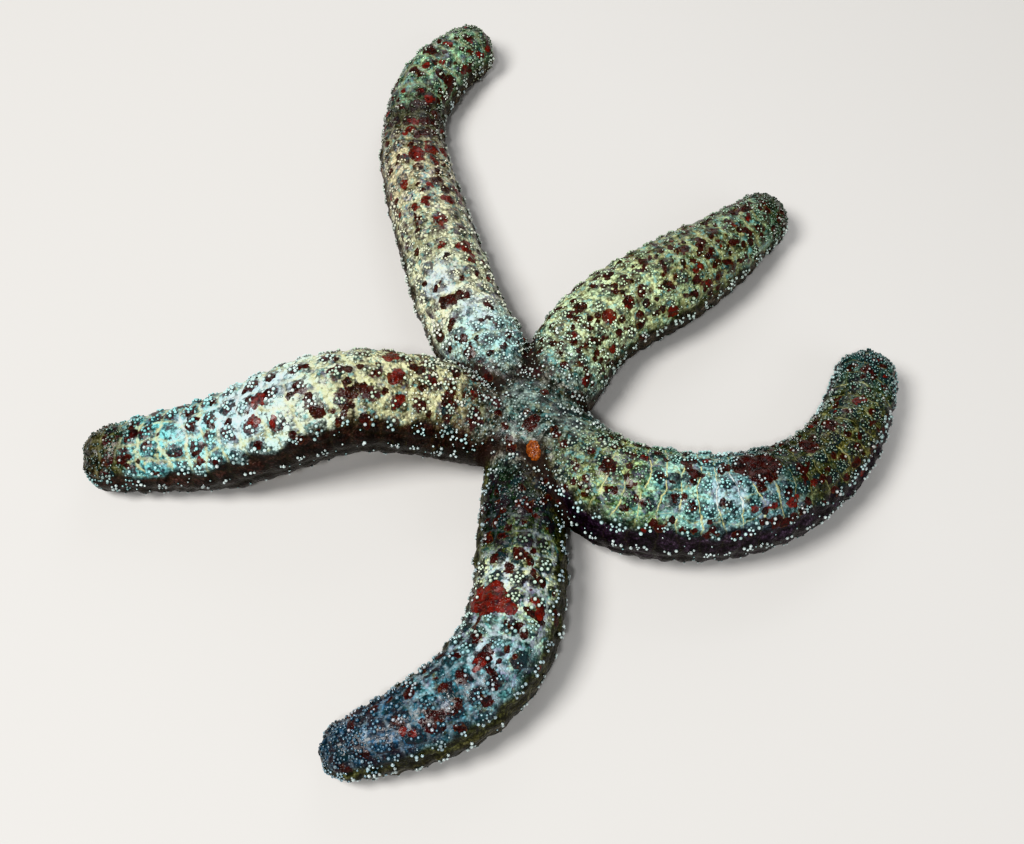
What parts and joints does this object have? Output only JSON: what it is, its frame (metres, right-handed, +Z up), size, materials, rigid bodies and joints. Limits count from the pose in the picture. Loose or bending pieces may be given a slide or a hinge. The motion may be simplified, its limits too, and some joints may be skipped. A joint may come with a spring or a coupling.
{
  "type": "dactylosaster starfish",
  "caption": "Starfish with a small disc and long round arms, one arched and the rest curving along the ground, with rows of raised plates and open furrows of tube feet below.",
  "frame": {"origin": "on the floor, at the centre of the model's footprint", "axes": "+Z up out of the back of the animal, -Y along the front arm towards the viewer, +X to the viewer's right"},
  "size_m": [0.1108, 0.122, 0.0184],
  "materials": {
    "disc_skin": "satin",
    "sieve_plate": "satin",
    "arm_skin_teal": "satin",
    "arm_skin_olive": "satin",
    "arm_skin_blue": "satin",
    "granules": "gloss",
    "tube_feet": "satin"
  },
  "bodies": {
    "root": {"disc": "disc_skin", "madreporite": "sieve_plate", "arm_left_base": "arm_skin_teal", "arm_left_middle": "arm_skin_teal", "arm_left_tip": "arm_skin_teal", "arm_back_base": "arm_skin_olive", "arm_back_middle": "arm_skin_olive", "arm_back_tip": "arm_skin_olive", "arm_back_right_base": "arm_skin_olive", "arm_back_right_middle": "arm_skin_olive", "arm_back_right_tip": "arm_skin_olive", "arm_right_base": "arm_skin_teal", "arm_right_middle": "arm_skin_teal", "arm_right_tip": "arm_skin_teal", "arm_front_base": "arm_skin_blue", "arm_front_middle": "arm_skin_blue", "arm_front_tip": "arm_skin_blue"}
  },
  "joints": []
}
